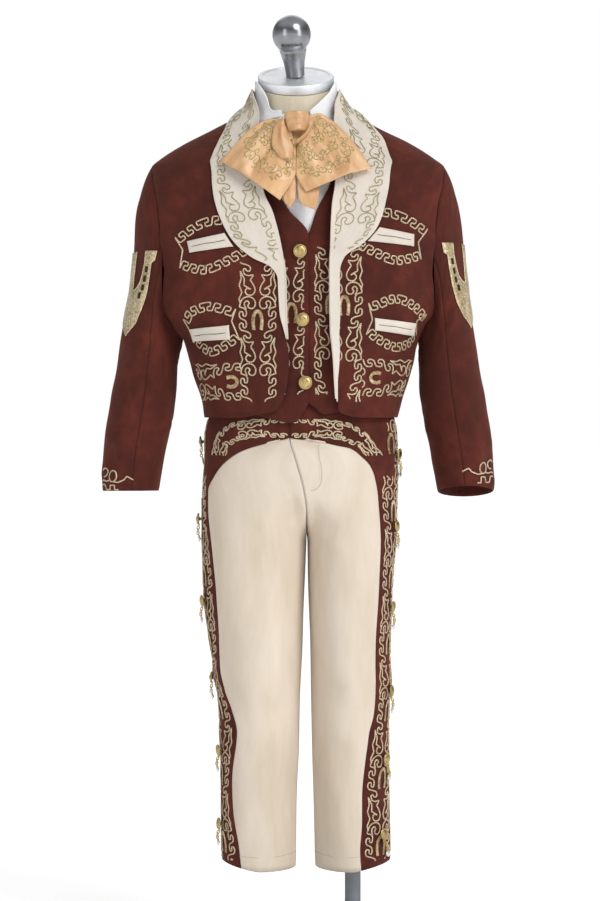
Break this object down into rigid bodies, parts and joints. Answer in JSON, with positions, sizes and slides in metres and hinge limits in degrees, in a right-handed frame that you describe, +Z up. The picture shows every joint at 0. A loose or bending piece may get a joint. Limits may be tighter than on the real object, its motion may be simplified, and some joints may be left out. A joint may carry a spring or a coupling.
{
  "type": "child's charro suit on a dress form",
  "caption": "Short embroidered jacket, waistcoat, shirt, satin bow and two-tone trousers, worn by a limbless dress form that stands on a round base.",
  "frame": {"origin": "on the underside of the stand's base plate, below the form's neck and 5 mm in front of the plate's centre", "axes": "+Z up, the suit's front faces -Y, +X towards the wearer's left"},
  "size_m": [0.39, 0.3, 0.9488],
  "materials": {
    "brown_suede": "brushed suedecloth with a short nap",
    "cream_cloth": "matt twill",
    "white_shirting": "plain weave",
    "peach_satin": "satin with a soft sheen",
    "gold_thread": "metallic embroidery",
    "gold_metal": "polished and embossed",
    "polished_steel": "polished",
    "form_linen": "taut plain linen"
  },
  "bodies": {
    "root": {"bow_fold_left": "peach_satin", "bow_fold_right": "peach_satin", "bow_knot": "peach_satin", "bow_tail_left": "peach_satin", "bow_tail_right": "peach_satin", "bow_wing_left": "peach_satin", "bow_wing_right": "peach_satin", "collar_left": "cream_cloth", "collar_right": "cream_cloth", "form_body": "form_linen", "form_cap": "polished_steel", "form_finial": "polished_steel", "jacket_back": "brown_suede", "jacket_front_left": "brown_suede", "jacket_front_right": "brown_suede", "shirt_back": "white_shirting", "shirt_collar_left": "white_shirting", "shirt_collar_right": "white_shirting", "shirt_collar_stand": "white_shirting", "shirt_front": "white_shirting", "side_button_left_1": "gold_metal", "side_button_left_2": "gold_metal", "side_button_left_3": "gold_metal", "side_button_left_4": "gold_metal", "side_button_left_5": "gold_metal", "side_button_left_6": "gold_metal", "side_button_right_1": "gold_metal", "side_button_right_2": "gold_metal", "side_button_right_3": "gold_metal", "side_button_right_4": "gold_metal", "side_button_right_5": "gold_metal", "side_button_right_6": "gold_metal", "sleeve_horseshoe_left": "gold_thread", "sleeve_horseshoe_right": "gold_thread", "sleeve_top_left": "brown_suede", "sleeve_top_right": "brown_suede", "sleeve_under_left": "brown_suede", "sleeve_under_right": "brown_suede", "stand_base": "polished_steel", "stand_pole": "polished_steel", "trouser_back_left": "cream_cloth", "trouser_back_right": "cream_cloth", "trouser_band_left": "brown_suede", "trouser_band_right": "brown_suede", "trouser_front_left": "cream_cloth", "trouser_front_right": "cream_cloth", "vest_back": "brown_suede", "vest_button_1": "gold_metal", "vest_button_2": "gold_metal", "vest_button_3": "gold_metal", "vest_front_left": "brown_suede", "vest_front_right": "brown_suede", "welt_lower_left": "cream_cloth", "welt_lower_right": "cream_cloth", "welt_upper_left": "cream_cloth", "welt_upper_right": "cream_cloth"}
  },
  "joints": []
}
